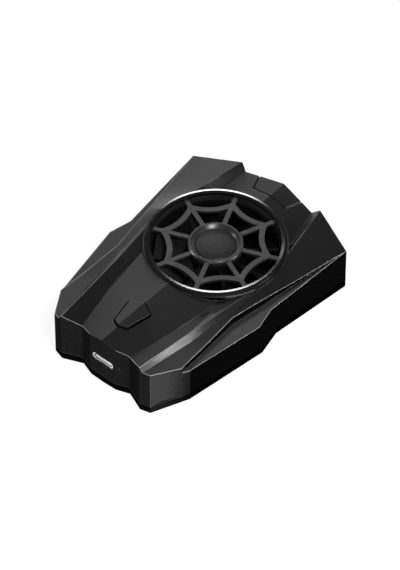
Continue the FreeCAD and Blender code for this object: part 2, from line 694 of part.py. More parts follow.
def screws(label, places, head_low, length, upward):
    """Group of cross-head screws; upward ones have their heads at the bottom."""
    solids = []
    shank_low = "%s + head_t" % head_low if upward else "%s - (%s)" % (head_low, length)
    slot_low = head_low if upward else "%s + head_t - slot_h" % head_low
    for number, (x, y) in enumerate(places, start=1):
        head = small_rod(label + "Head" + str(number), "head_r", "head_t", x, y, head_low)
        shank = small_rod(label + "Shank" + str(number), "screw_r", length, x, y, shank_low)
        arms = [box(label + "Across" + str(number), x, y, slot_low, "slot_l", "slot_w", "slot_h"),
                box(label + "Along" + str(number), x, y, slot_low, "slot_w", "slot_l", "slot_h")]
        blank = fuse(label + "Blank" + str(number), [head, shank])
        solids.append(cut(label + "Screw" + str(number), blank, arms))
    group = doc.addObject("Part::Compound", label)
    group.Links = solids
    return group


# Grille

def bezel_ring():
    """Bright ring with a sloping outer band and a raised inner lip."""
    body = new_body("bezel_ring", "seat_z")
    crown = "(bezel_r - bezel_slope + bezel_inner) / 2"
    revolve(body, "Bezel", [("bezel_inner", "0"), ("bezel_r", "0"), ("bezel_r", "bezel_edge"),
                            ("bezel_r - bezel_slope", "bezel_edge + (bezel_lip - bezel_edge) / 2"),
                            (crown, "bezel_lip"), ("bezel_inner + bezel_soft", "bezel_lip - bezel_soft / 2"),
                            ("bezel_inner", "bezel_lip - bezel_drop")])
    return body


def arc_band(sketch, node_r, mid_r, half_angle, width):
    """Closed band between two concentric arcs that bow towards the hub, midway between two spokes."""
    reach = node_r * math.sin(half_angle)
    rise = node_r * math.cos(half_angle) - mid_r
    bow = (reach * reach + rise * rise) / (2 * rise)
    centre = FreeCAD.Vector((mid_r + bow) * math.cos(half_angle), (mid_r + bow) * math.sin(half_angle), 0)
    spread = math.asin(reach / bow)
    middle = math.pi + half_angle
    axis = FreeCAD.Vector(0, 0, 1)
    edges = []
    for radius in (bow + width / 2, bow - width / 2):
        edges.append(Part.ArcOfCircle(Part.Circle(centre, axis, radius), middle - spread, middle + spread))
    outer_arc, inner_arc = [sketch.addGeometry(edge, False) for edge in edges]
    low = sketch.addGeometry(Part.LineSegment(edges[0].StartPoint, edges[1].StartPoint), False)
    high = sketch.addGeometry(Part.LineSegment(edges[0].EndPoint, edges[1].EndPoint), False)
    for first, first_end, second, second_end in ((outer_arc, 1, low, 1), (inner_arc, 1, low, 2),
                                                 (outer_arc, 2, high, 1), (inner_arc, 2, high, 2)):
        sketch.addConstraint(Sketcher.Constraint("Coincident", first, first_end, second, second_end))
    sketch.addConstraint(Sketcher.Constraint("Coincident", outer_arc, 3, inner_arc, 3))


def web_grille():
    """Web of spokes and inward-bowed arcs between a round hub and a rim."""
    body = new_body("web_grille", "web_z")
    height = "(web_top - web_z)"
    land = "hub_r - hub_soft - hub_land"
    revolve(body, "WebHub", [("0", "-hub_drop"), ("hub_r", "-hub_drop"), ("hub_r", height + " - hub_soft"),
                             ("hub_r - hub_soft", height), (land, height),
                             ("cap_r + fit_gap", height + " - bowl_depth"),
                             ("cap_r + fit_gap", height + " - bowl_depth - cap_t"),
                             ("0", height + " - bowl_depth - cap_t")])
    rim = "fan_bore - fit_gap"
    revolve(body, "WebRim", [("bezel_inner", "frame_top - web_z"), (rim, "frame_top - web_z"),
                             (rim, "seat_z - web_z"), ("bezel_inner", "seat_z - web_z")])
    spoke_sketch = body_sketch(body, "SpokeOutline", "XY_Plane")
    rectangle(spoke_sketch, "hub_r - root_lap", "bezel_inner + root_lap / 2", "-spoke_w / 2", "spoke_w / 2")
    spoke = pad(body, "Spoke", spoke_sketch, "seat_z - web_z")
    arc_sketch = body_sketch(body, "ArcOutline", "XY_Plane")
    half_angle = math.pi / size("spokes")
    arc_band(arc_sketch, size("node_r"), size("arc_mid_r"), half_angle, size("arc_w"))
    arc = pad(body, "Arc", arc_sketch, "seat_z - web_z")
    around(body, "WebRing", [spoke, arc], "spokes", spoke_sketch)
    body.Placement.Rotation = FreeCAD.Rotation(FreeCAD.Vector(0, 0, 1), math.degrees(half_angle))
    return body


def hub_cap():
    """Thin, slightly domed disc in the bowl of the grille hub."""
    body = new_body("hub_cap", "web_top - bowl_depth - cap_t")
    face = "(cap_r - cap_soft)"
    dome = [(face + " * " + share, "cap_t + cap_dome * (1 - %s * %s)" % (share, share))
            for share in ("1", "0.7", "0.35")]
    revolve(body, "Cap", [("0", "0"), ("cap_r", "0"), ("cap_r", "cap_t - cap_soft")] + dome
            + [("0", "cap_t + cap_dome")])
    return body


# Button

def power_button():
    """Six-sided button with a creased top, a retaining flange and a stem."""
    cap = extrude("ButtonCap", button_outline("ButtonOutline", "flange_z", "0"), "button_top")
    crease = free_sketch("ButtonCrease", "XZ", "0")
    polygon(crease, [("-2 * button_wide_x", "flange_z"), ("2 * button_wide_x", "flange_z"),
                     ("2 * button_wide_x", "button_top - 2 * button_slope"), ("0", "button_top"),
                     ("-2 * button_wide_x", "button_top - 2 * button_slope")])
    roofed = common("ButtonTop", [cap, extrude("ButtonCreaseBlock", crease, "length")])
    flange = extrude("ButtonFlange", button_outline("FlangeOutline", "flange_z", "button_gap + flange_lip"),
                     "flange_t")
    stem = small_rod("ButtonStem", "stem_r", "flange_z - stem_z", "0", "switch_y", "stem_z")
    return fuse("power_button", [roofed, flange, stem])


def tact_switch():
    """Tact switch body with its round well, and the plunger that the stem rests on."""
    block = box("SwitchBlock", "0", "switch_y", "board_top", "switch_w", "switch_w", "switch_h")
    well = small_rod("SwitchWell", "well_r", "switch_h", "0", "switch_y", "board_top + well_floor")
    cut("switch_body", block, [well])
    small_rod("switch_plunger", "plunger_r", "plunger_h", "0", "switch_y", "board_top + plunger_set")


# Electronics

def main_board():
    board_y = "(board_near + board_far) / 2"
    board = box("BoardBlank", "0", board_y, "board_z", "2 * board_x", "board_far - board_near", "board_t")
    cut("main_board", board, posts("BoardHole", board_places, "pilot_r + fit_gap", "board_z - spare",
                                   "board_top + spare"))


def power_socket():
    """Folded steel shell, open at the mouth, with a flat tongue inside."""
    back = "socket_mouth + socket_l"
    shell = extrude("SocketBlank", socket_outline("ShellOutline", back, "0"), "socket_l")
    hollow = extrude("SocketHollow", socket_outline("HollowOutline", back + " - socket_wall", "socket_wall"),
                     "socket_l")
    cut("socket_shell", shell, [hollow])
    tongue_l = "(socket_l - tongue_set - socket_wall)"
    box("socket_tongue", "0", "socket_mouth + tongue_set + %s / 2" % tongue_l,
        "board_top + (socket_t - tongue_t) / 2", "tongue_w", tongue_l, "tongue_t")


def lamp():
    """Indicator lamp on the board and the light pipe in front of it."""
    lying_rod("light_pipe", "lamp_r", "pipe_l", "lamp_x", "pipe_mouth + pipe_l", "lamp_z")
    box("indicator_lamp", "lamp_x", "pipe_mouth + pipe_l + lamp_t / 2", "board_top", "lamp_w", "lamp_t",
        "lamp_z - board_top + lamp_over")


# Fan

def fan_frame():
    """Round duct with struts to the motor base, a bearing tube and four screw ears."""
    body = new_body("fan_frame", "fan_z")
    revolve(body, "Duct", [("duct_r", "0"), ("frame_r", "0"), ("frame_r", "fan_height"),
                           ("duct_r", "fan_height")])
    revolve(body, "MotorBase", [("shaft_r + shaft_gap", "0"), ("base_r", "0"), ("base_r", "base_t"),
                                ("tube_r", "base_t"), ("tube_r", "rotor_z + magnet_h"),
                                ("bearing_r", "rotor_z + magnet_h"), ("bearing_r", "base_t"),
                                ("shaft_r + shaft_gap", "base_t")])
    strut_sketch = body_sketch(body, "StrutOutline", "XY_Plane")
    rectangle(strut_sketch, "base_r - root_lap", "duct_r + root_lap", "-strut_w / 2", "strut_w / 2")
    strut = pad(body, "Strut", strut_sketch, "base_t")
    around(body, "StrutRing", [strut], "struts", strut_sketch)
    arm_sketch = body_sketch(body, "EarArmOutline", "XY_Plane")
    rectangle(arm_sketch, "duct_r + root_lap", "ear_reach", "-ear_r", "ear_r")
    arm = pad(body, "EarArm", arm_sketch, "ear_t")
    ear_sketch = body_sketch(body, "EarOutline", "XY_Plane")
    small_round(ear_sketch, "ear_r", "ear_reach")
    ear = pad(body, "Ear", ear_sketch, "ear_t")
    around(body, "EarRing", [arm, ear], str(EARS), ear_sketch)
    hole_sketch = body_sketch(body, "EarHoleOutline", "XY_Plane")
    small_round(hole_sketch, "pilot_r", "ear_reach")
    hole = pocket(body, "EarHole", hole_sketch, "ear_t")
    around(body, "EarHoleRing", [hole], str(EARS), hole_sketch)
    body.Placement.Rotation = FreeCAD.Rotation(FreeCAD.Vector(0, 0, 1), EAR_TURN)
    return body


def blade_section(body, name, radius, pitch):
    """Slanted thin section of a blade on a plane at a distance from the fan axis."""
    sketch = body_sketch(body, name, "XZ_Plane", "-(" + radius + ")")
    run = "(blade_h / tan(%s))" % pitch
    lean = "(blade_t / sin(%s))" % pitch
    front = [(run + " * (-0.5) + " + lean + " / 2", "0"),
             (run + " * bend_run + " + lean + " / 2", "blade_h * bend_rise"),
             (run + " / 2 + " + lean + " / 2", "blade_h")]
    back = [(across.replace(" + " + lean, " - " + lean), along) for across, along in reversed(front)]
    polygon(sketch, front + back)
    return sketch


def impeller():
    """Cup-shaped hub with curved blades that twist from root to tip."""
    body = new_body("impeller", "fan_z + rotor_z")
    hub = revolve(body, "Hub", [("yoke_r", "0"), ("rotor_r", "0"), ("rotor_r", "rotor_h"),
                                ("0", "rotor_h"), ("0", "rotor_h - rotor_top"),
                                ("yoke_r", "rotor_h - rotor_top")])
    root = blade_section(body, "BladeRoot", "rotor_r - root_lap", "root_pitch")
    tip = blade_section(body, "BladeTip", "tip_r", "tip_pitch")
    blade = body.newObject("PartDesign::AdditiveLoft", "Blade")
    blade.Profile = root
    blade.Sections = [tip]
    blade.Ruled = True
    body.Tip = blade
    hub_sketch = hub.Profile[0]
    wheel = body.newObject("PartDesign::PolarPattern", "BladeRing")
    wheel.Originals = [blade]
    wheel.Axis = (hub_sketch, ["V_Axis"])
    wheel.Angle = 360
    bind(wheel, "Occurrences", "blades")
    body.Tip = wheel
    return body


def rotor():
    """Steel yoke with its ring magnet, and the shaft pressed into the impeller hub."""
    yoke = new_body("rotor_yoke", "fan_z + rotor_z")
    top = "rotor_h - rotor_top"
    revolve(yoke, "Yoke", [("yoke_r - yoke_t", "0"), ("yoke_r", "0"), ("yoke_r", top), ("shaft_r", top),
                           ("shaft_r", top + " - yoke_t"), ("yoke_r - yoke_t", top + " - yoke_t")])
    ring_body("rotor_magnet", "magnet_r", "yoke_r - yoke_t", "fan_z + rotor_z", "magnet_h")
    cylinder("rotor_shaft", "shaft_r", "rotor_z + rotor_h - rotor_top - shaft_set", "0", "fan_y",
             "fan_z + shaft_set")


def stator():
    """Sleeve bearing, four-pole core with a coil on each pole, and the drive board."""
    ring_body("sleeve_bearing", "shaft_r + shaft_gap", "bearing_r", "fan_z + base_t",
              "rotor_z + magnet_h - base_t")
    ring_body("fan_board", "tube_r", "base_r - board_margin", "fan_z + base_t", "fan_board_t")
    core = new_body("stator_core", "core_z")
    revolve(core, "CoreRing", [("tube_r", "0"), ("core_inner", "0"), ("core_inner", "core_h"),
                               ("tube_r", "core_h")])
    pole_sketch = body_sketch(core, "PoleOutline", "XY_Plane")
    root = "tube_r + core_wall / 2"
    shoe = [("core_r * cos(%s * shoe_angle)" % share, "core_r * sin(%s * shoe_angle)" % share)
            for share in ("(-1)", "(-0.5)", "0", "0.5", "1")]
    polygon(pole_sketch, [(root, "-pole_w / 2"), ("neck_r", "-pole_w / 2"),
                          ("neck_r", "-neck_r * sin(shoe_angle)")] + shoe
            + [("neck_r", "neck_r * sin(shoe_angle)"), ("neck_r", "pole_w / 2"), (root, "pole_w / 2")])
    pole = pad(core, "Pole", pole_sketch, "core_h")
    around(core, "PoleRing", [pole], "poles", pole_sketch)
    coils = []
    for number in range(int(size("poles"))):
        centre = "(core_inner + neck_r) / 2"
        winding = box("Winding%d" % number, centre, "0", "-coil_t", "neck_r - core_inner - 2 * coil_gap",
                      "pole_w + 2 * coil_t", "core_h + 2 * coil_t")
        slot = box("WindingSlot%d" % number, centre, "0", "0", "neck_r", "pole_w", "core_h")
        coil = cut("Coil%d" % number, winding, [slot])
        coil.Placement = turned((0, 0, 1), 360 / size("poles") * number)
        coils.append(coil)
    group = doc.addObject("Part::Compound", "stator_coils")
    group.Links = coils
    move(group, "0", "fan_y", "core_z")


# Cooling stack

def heat_sink():
    """Round base with straight fins trimmed to the same circle."""
    base = cylinder("SinkBase", "sink_r", "sink_t", "0", "fan_y", "sink_z")
    rows = int(size("fins"))
    blocks = [box("Fin%d" % number, "%g * fin_pitch" % (number - (rows - 1) / 2), "fan_y", "sink_z", "fin_t",
                  "2 * sink_r", "fan_z - sink_z") for number in range(rows)]
    disc = cylinder("SinkDisc", "sink_r", "fan_z - sink_z", "0", "fan_y", "sink_z")
    fuse("heat_sink", [base, common("Fins", [fuse("FinRow", blocks), disc])])


def cooling_element():
    """Two ceramic plates with a square field of pellets between them."""
    cold = box("ColdCeramic", "0", "fan_y", "flange_top", "cooler_w", "cooler_w", "ceramic_t")
    hot = box("HotCeramic", "0", "fan_y", "sink_z - ceramic_t", "cooler_w", "cooler_w", "ceramic_t")
    height = "sink_z - flange_top - 2 * ceramic_t"
    solids = [cold, hot]
    count = int(size("pellets"))
    for column in range(count):
        for row in range(count):
            x = "%g * cooler_w / pellets" % (column - (count - 1) / 2)
            y = "fan_y + %g * cooler_w / pellets" % (row - (count - 1) / 2)
            solids.append(box("Pellet%d_%d" % (column, row), x, y, "flange_top + ceramic_t", "pellet_w",
                              "pellet_w", height))
    group = doc.addObject("Part::Compound", "cooling_element")
    group.Links = solids


def cold_side():
    """Foam gasket, cold plate with its flange, and the soft contact pad."""
    foam = box("FoamBlank", "0", "fan_y", "flange_top", "gasket_w", "gasket_w", "sink_z - flange_top")
    hole_w = "cooler_w + 2 * fit_gap"
    hole = box("FoamHole", "0", "fan_y", "0", hole_w, hole_w, "2 * sink_z")
    cut("foam_gasket", foam, [hole])
    face = box("PlateFace", "0", "fan_y", "pad_t", "plate_w", "plate_w", "floor_wall - pad_t")
    flange = box("PlateFlange", "0", "fan_y", "floor_wall", "gasket_w", "gasket_w", "plate_t")
    fuse("cold_plate", [face, flange])
    box("contact_pad", "0", "fan_y", "0", "plate_w", "plate_w", "pad_t")


top_cover()
bottom_cover()
screws("housing_screws", screw_places, "head_sink", "housing_screw_l", True)
bezel_ring()
web_grille()
hub_cap()
power_button()
tact_switch()
main_board()
power_socket()
lamp()
screws("board_screws", board_places, "board_top", "board_screw_l", False)
fan_frame()
impeller()
rotor()
stator()
screws("fan_screws", ear_places, "fan_z - head_t", "fan_screw_l", True)
heat_sink()
cooling_element()
cold_side()

NODES = ["top_cover", "bottom_cover", "housing_screws", "bezel_ring", "web_grille", "hub_cap", "power_button",
         "switch_body", "switch_plunger", "main_board", "socket_shell", "socket_tongue", "light_pipe",
         "indicator_lamp", "board_screws", "fan_frame", "impeller", "rotor_yoke", "rotor_magnet",
         "rotor_shaft", "sleeve_bearing", "fan_board", "stator_core", "stator_coils", "fan_screws",
         "heat_sink", "cooling_element", "foam_gasket", "cold_plate", "contact_pad"]

doc.recompute()

for thing in doc.Objects:
    faults = [word for word in thing.State if word in ("Invalid", "Error")]
    if faults:
        raise RuntimeError(thing.Name + " failed: " + ", ".join(faults))

for label in NODES:
    shape = doc.getObject(label).Shape
    if shape.isNull() or not shape.isValid() or not shape.Solids:
        raise RuntimeError(label + " has no sound solid")

os.makedirs("parts", exist_ok=True)
for label in NODES:
    shape = doc.getObject(label).Shape
    shape.exportStep(os.path.join("parts", label + ".step"))
    print(label, len(shape.Solids), "solids,", len(shape.Faces), "faces,", round(shape.Volume, 1), "mm3")
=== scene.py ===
import math

import bmesh
import bpy
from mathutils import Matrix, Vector


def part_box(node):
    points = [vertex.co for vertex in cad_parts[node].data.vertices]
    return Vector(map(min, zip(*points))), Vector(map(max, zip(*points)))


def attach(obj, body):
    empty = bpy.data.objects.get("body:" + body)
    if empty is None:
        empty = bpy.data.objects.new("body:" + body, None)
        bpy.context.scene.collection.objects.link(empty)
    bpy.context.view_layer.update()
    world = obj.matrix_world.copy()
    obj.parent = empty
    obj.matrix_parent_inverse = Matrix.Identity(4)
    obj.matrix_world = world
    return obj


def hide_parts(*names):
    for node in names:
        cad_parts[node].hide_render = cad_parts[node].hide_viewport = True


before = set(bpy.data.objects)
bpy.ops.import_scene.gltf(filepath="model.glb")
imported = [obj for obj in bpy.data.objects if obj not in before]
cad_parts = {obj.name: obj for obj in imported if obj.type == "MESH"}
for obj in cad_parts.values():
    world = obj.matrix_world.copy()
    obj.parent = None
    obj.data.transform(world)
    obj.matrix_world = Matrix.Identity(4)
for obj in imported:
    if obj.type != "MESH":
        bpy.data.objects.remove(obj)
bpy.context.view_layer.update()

MM = 0.001

# Camera, from the photograph's viewing angle
PHOTO_HEIGHT = 570
AZIMUTH = 40.68
ELEVATION = 48.04
DISTANCE = 1.409
FOCAL_PIXELS = 4688
SENSOR = 36.0
CLIP = (0.01, 20)
AIM_RIGHT = 2.02 * MM
AIM_UP = -0.67 * MM
AIM_HEIGHT = 9.6 * MM

# Studio: the world goes from white to dark between two heights of a view direction
FLOOR_SIZE = 8
FLOOR_GLOW = 0.86
FLOOR_GREY, FLOOR_SEEN_GREY = 0.5, 0.2
HORIZON = (0.12, 0.36)
WHITE, DARK_CEILING = (1, 1, 1), (0.05, 0.05, 0.05)

# Lights: direction from the object, size and watts
LIGHT_DISTANCE = 0.65
BOX = (0.15, 0.15)
LIGHTS = {
    "right_box": ((0.88, 0.38, 0.28), (0.15, 0.2), 2.4),
    "front_left_box": ((-0.76, -0.53, 0.35), BOX, 1.4),
    "front_box": ((0.30, -0.80, 0.50), BOX, 0.5),
    "front_top_box": ((0.46, -0.23, 0.86), BOX, 2.6),
    "roof_left_box": ((-0.66, 0.42, 0.62), BOX, 0.095),
    "back_left_box": ((-0.44, 0.51, 0.74), BOX, 0.18),
    "back_strip": ((-0.65, 0.73, 0.23), (0.34, 0.08), 0.8),
}

# Slots of a piece with several finishes, and the faces that go into them
TOP, WALL, SHEEN_CORNER, SLOPE = range(4)
TOP_FACING = 0.3
# Faces that look this way, towards the near corner, take the corner finish with its painted sheen
CORNER_DIRECTION, CORNER_FACING = (0.86, -0.51, 0), 0.96
INWARD_FACING = 0.22
RIGHT_SLOPE_END = 12 * MM

# Rounded edges
WELD_DISTANCE = 0.002 * MM
FLAT_ANGLE, EDGE_ANGLE = math.radians(0.4), math.radians(5.2)
EDGE_SEGMENTS = 2
NORMAL_WEIGHT, NORMAL_THRESHOLD = 80, 0.01
SORTED_EDGES = {"top_cover": 0.22 * MM, "power_button": 0.18 * MM, "bottom_cover": 0.2 * MM}
GRILLE_EDGE = 0.25 * MM

# Limits between which a finish or a painted light changes over: a noise, the shade on an edge, which
# places the painted edge highlights, and a face's direction, which places the painted light on ledges and
# the painted shade on walls
NOISE_RANGE = (0.3, 0.7)
EDGE_SHADE = (0.62, 0.92)
LEVEL_FACING = (0.998, 0.999)
SIDE_FACING = (0.3, 0.6)
LEFT_FACING = (-0.35, 0.1)

# Heights, places along the part and distances at which a finish or a painted light changes over: painted
# light on the ledges, painted edge highlights, painted shade on the walls and the painted sheen of the
# near corner
LEDGE_TOP = (15.0 * MM, 15.3 * MM)
RIM_HEIGHT = (12.4 * MM, 12.8 * MM)
DARK_HEIGHT = (11.5 * MM, 11.8 * MM)
RIGHT_HALF = (0.0, MM)
HIGHLIT_SIDES = (8 * MM, 9.5 * MM)
TAIL, TAIL_SHIFT = (20 * MM, 40 * MM), 14 * MM
NOSE, NOSE_SHIFT = (-38.5 * MM, -37.5 * MM), 3.2 * MM
NOSE_WALLS = (-36 * MM, -35 * MM)
SIDE_START = (-32 * MM, -30.5 * MM)
SHEEN_FADE = (-37 * MM, -30.5 * MM)
CORNER_TIP = (-40.9 * MM, -40.4 * MM)
FAN_CENTRE = (0, 10.3 * MM, 0)
FAN_CLEAR = (22.3 * MM, 22.7 * MM)

EDGE_RADIUS = 0.3 * MM
# Roughness where the edge highlights are painted
HIGHLIGHT_ROUGHNESS, CORNER_HIGHLIGHT_ROUGHNESS = 0.2, 0.25

# Shares of a piece's own levels: its low faces, and the parts of its walls: painted shade on the right
# side, painted highlights on wall edges and the painted sheen of the near corner
LOW_SHARE = 0.1
SHADED_SIDE_SHARE, WALL_HIGHLIGHT_SHARE, NOSE_SHADE = 0.16, 4, 0.6
CORNER_SHEEN_SHARE, SHEEN_REAR_SHARE = 3, 0.25
SLOPE_ROUGHNESS_SHARE, SLOPE_SPECULAR = 1.3, 0.15

# Bezel: section as shares of its width and height, from the inside outwards
BEAD_SECTION = ((0, 0), (0, 0.714), (0.53, 0.99), (1, 0.745), (1, 0))
BEAD_STEPS = 144
BEAD_CREASE = math.radians(30)


def place_object(name, data, location, rotation):
    """New object in the scene at a location, turned by a quaternion."""
    made = bpy.data.objects.new(name, data)
    made.location = location
    made.rotation_mode = "QUATERNION"
    made.rotation_quaternion = rotation
    bpy.context.scene.collection.objects.link(made)
    return made


def make_camera():
    """Camera at the photograph's viewing angle and distance."""
    turn, rise = math.radians(AZIMUTH), math.radians(ELEVATION)
    back = Vector((math.sin(turn) * math.cos(rise), -math.cos(turn) * math.cos(rise), math.sin(rise)))
    right = Vector((math.cos(turn), math.sin(turn), 0))
    data = bpy.data.cameras.new("camera")
    data.sensor_fit = "VERTICAL"
    data.sensor_height = SENSOR
    data.lens = FOCAL_PIXELS * SENSOR / PHOTO_HEIGHT
    data.clip_start, data.clip_end = CLIP
    aim = Vector((0, 0, AIM_HEIGHT)) + right * AIM_RIGHT + back.cross(right) * AIM_UP
    bpy.context.scene.camera = place_object("camera", data, aim + back * DISTANCE,
                                            (-back).to_track_quat("-Z", "Y"))


def make_lights():
    """Soft boxes aimed at the middle of the object."""
    for name, (direction, size, watts) in LIGHTS.items():
        data = bpy.data.lights.new(name, "AREA")
        data.shape = "RECTANGLE"
        data.size, data.size_y = size
        data.energy = watts
        towards = Vector(direction).normalized()
        place_object(name, data, Vector((0, 0, AIM_HEIGHT)) + towards * LIGHT_DISTANCE,
                     towards.to_track_quat("Z", "Y"))


# Node helpers

def feed(tree, node, *values):
    """Links outputs to a node's inputs in order, or sets plain values there."""
    for socket, value in zip(node.inputs, values):
        if isinstance(value, bpy.types.NodeSocket):
            tree.links.new(value, socket)
        else:
            socket.default_value = value
    return node


def two_tones(tree, value, limits, low, high):
    """Colour that goes from one tone to another between two limits of a value."""
    node = feed(tree, tree.nodes.new("ShaderNodeValToRGB"), value)
    for element, position, colour in zip(node.color_ramp.elements, limits, (low, high)):
        element.position = position
        element.color = (*colour, 1)
    return node.outputs["Color"]


class Graph:
    """Node tree of one material, with short calls for the nodes used here."""

    def __init__(self, name):
        self.material = bpy.data.materials.new(name)
        self.material.use_nodes = True
        self.tree = self.material.node_tree
        self.shader = self.tree.nodes["Principled BSDF"]
        self.place = self.add("ShaderNodeTexCoord").outputs["Object"]

    def add(self, kind, **settings):
        """New node with these settings."""
        node = self.tree.nodes.new(kind)
        for name, value in settings.items():
            setattr(node, name, value)
        return node

    def join(self, source, target):
        """Links an output to an input."""
        self.tree.links.new(source, target)

    def axes(self, vector):
        """X, Y and Z of a vector."""
        return feed(self.tree, self.add("ShaderNodeSeparateXYZ"), vector).outputs

    def facing(self):
        """X, Y and Z of the direction in which a face looks."""
        return self.axes(self.add("ShaderNodeNewGeometry").outputs["True Normal"])

    def calculate(self, operation, *values):
        """Result of a Math node."""
        return feed(self.tree, self.add("ShaderNodeMath", operation=operation), *values).outputs[0]

    def times(self, first, *others):
        """Product of several values."""
        for other in others:
            first = self.calculate("MULTIPLY", first, other)
        return first

    def span(self, value, limits, low, high):
        """Number that goes from low to high between two limits of a value."""
        node = self.add("ShaderNodeMapRange")
        feed(self.tree, node, value, *limits, low, high)
        return node.outputs["Result"]

    def rise(self, value, limits, height=1.0):
        """0 below the limits of a value and the height above them."""
        return self.span(value, limits, 0.0, height)

    def fall(self, value, limits, height=1.0):
        """The height below the limits of a value and 0 above them."""
        return self.span(value, limits, height, 0.0)

    def stretched(self, scale):
        """Place on the piece, scaled along each axis."""
        node = self.add("ShaderNodeMapping")
        node.inputs["Scale"].default_value = scale
        self.join(self.place, node.inputs["Vector"])
        return node.outputs["Vector"]

    def noise(self, size, detail=2, roughness=0.5, stretch=(1, 1, 1)):
        """Noise whose features are about this size in metres."""
        node = self.add("ShaderNodeTexNoise")
        node.inputs["Scale"].default_value = 1 / size
        node.inputs["Detail"].default_value = detail
        node.inputs["Roughness"].default_value = roughness
        self.join(self.stretched(stretch), node.inputs["Vector"])
        return node.outputs["Fac"]

    def vary(self, noise, low, high):
        """Number that follows a noise between two values."""
        return self.span(noise, NOISE_RANGE, low, high)

    def mottle(self, noise, colour, spread):
        """Colour that follows a noise to a share darker and lighter."""
        return two_tones(self.tree, noise, NOISE_RANGE, [part * (1 - spread) for part in colour],
                         [min(1, part * (1 + spread)) for part in colour])

    def bump(self, height, distance, under=None):
        """Normal of a surface with this relief, on top of another normal if there is one."""
        node = self.add("ShaderNodeBump")
        node.inputs["Distance"].default_value = distance
        self.join(height, node.inputs["Height"])
        if under is not None:
            self.join(under, node.inputs["Normal"])
        return node.outputs["Normal"]

    def mix(self, factor, first, second):
        """Colour between two others, which are outputs or plain colours."""
        node = self.add("ShaderNodeMix", data_type="RGBA")
        self.join(factor, node.inputs[0])
        for socket, value in ((node.inputs[6], first), (node.inputs[7], second)):
            if isinstance(value, bpy.types.NodeSocket):
                self.join(value, socket)
            else:
                socket.default_value = (*value, 1)
        return node.outputs[2]

    def blend(self, factor, first, second):
        """Number between an output and a plain value."""
        node = self.add("ShaderNodeMix", data_type="FLOAT")
        self.join(factor, node.inputs[0])
        self.join(first, node.inputs[2])
        node.inputs[3].default_value = second
        return node.outputs[0]

    def highlit_edges(self):
        """1 on raised edges and 0 away from them: where the edge highlights are painted."""
        node = self.add("ShaderNodeAmbientOcclusion", inside=True, only_local=True, samples=8)
        node.inputs["Distance"].default_value = EDGE_RADIUS
        return self.fall(node.outputs["AO"], EDGE_SHADE)

    def rounded(self):
        """Normal that turns smoothly over sharp edges."""
        node = self.add("ShaderNodeBevel", samples=6)
        node.inputs["Radius"].default_value = EDGE_RADIUS
        return node.outputs["Normal"]

    def distance_in_plan(self, centre):
        """Distance from an upright axis through a point."""
        node = self.add("ShaderNodeVectorMath", operation="DISTANCE")
        return feed(self.tree, node, self.stretched((1, 1, 0)), centre).outputs["Value"]

    def finish(self, colour, roughness, normal, specular=0.5, metallic=0.0):
        """Material with these outputs on its shader."""
        for name, source in (("Base Color", colour), ("Roughness", roughness), ("Normal", normal)):
            self.join(source, self.shader.inputs[name])
        self.shader.inputs["Specular IOR Level"].default_value = specular
        self.shader.inputs["Metallic"].default_value = metallic
        return self.material


def grey(value):
    """Grey with a trace of blue."""
    return (value, value, value * 1.02)


# Materials of the housing

def housing_top(name, level, ledge, rough, highlight_level, specular=0.5):
    """Satin plastic with painted light: painted highlights on raised edges, painted light on the
    up-facing ledges of the right half, and darker faces low down.
    """
    g = Graph(name)
    x, y, z = g.axes(g.place)
    # Painted light: up-facing faces of the right half below the ledge top are painted lighter
    lit_ledge = g.times(g.fall(z, LEDGE_TOP), g.rise(g.facing()["Z"], LEVEL_FACING), g.rise(x, RIGHT_HALF))
    plain = g.mottle(g.noise(20 * MM, 3), grey(level), 0.12)
    ledge_light = g.mottle(g.noise(0.5 * MM), grey(ledge), 0.15)
    from_nose = g.calculate("ADD", g.calculate("ABSOLUTE", x), g.fall(y, NOSE, NOSE_SHIFT))
    aside = g.calculate("SUBTRACT", from_nose, g.rise(y, TAIL, TAIL_SHIFT))
    # Painted highlight on raised edges, on the sides, above the rim height and clear of the fan
    edge = g.times(g.highlit_edges(), g.rise(aside, HIGHLIT_SIDES), g.rise(z, RIM_HEIGHT),
                   g.rise(g.distance_in_plan(FAN_CENTRE), FAN_CLEAR))
    without_highlight = g.mix(g.fall(z, DARK_HEIGHT), g.mix(lit_ledge, plain, ledge_light), grey(level * LOW_SHARE))
    satin = g.vary(g.noise(0.3 * MM, 3), rough * 0.85, rough * 1.15)
    grain = g.bump(g.noise(0.3 * MM), 0.01 * MM, under=g.rounded())
    return g.finish(g.mix(edge, without_highlight, grey(highlight_level)), g.blend(edge, satin, HIGHLIGHT_ROUGHNESS),
                    g.bump(g.noise(0.8 * MM), 0.01 * MM, under=grain), specular)


def matt_wall(name, level, shaded_side_level):
    """Finely grained matt wall with painted shade that makes the walls facing right deep black and
    darkens the left-facing nose facets, and painted highlights on raised edges.
    """
    g = Graph(name)
    facing = g.facing()["X"]
    y = g.axes(g.place)["Y"]
    grain = g.noise(0.6 * MM)
    plain, shaded = g.mottle(grain, grey(level), 0.25), g.mottle(grain, grey(shaded_side_level), 0.25)
    # Painted shade on the nose facets that face left
    shade = g.times(g.fall(facing, LEFT_FACING, NOSE_SHADE), g.fall(y, NOSE_WALLS))
    # Painted highlight on raised edges
    with_edge_highlight = g.mix(g.highlit_edges(), g.mix(shade, plain, shaded), grey(level * WALL_HIGHLIGHT_SHARE))
    # Painted shade: walls facing right, from just behind the near corner, go deep black
    shaded_side = g.times(g.rise(facing, SIDE_FACING), g.rise(y, SIDE_START))
    return g.finish(g.mix(shaded_side, with_edge_highlight, shaded), g.vary(grain, 0.6, 0.75),
                    g.bump(g.noise(0.22 * MM), 0.006 * MM), specular=0.0)


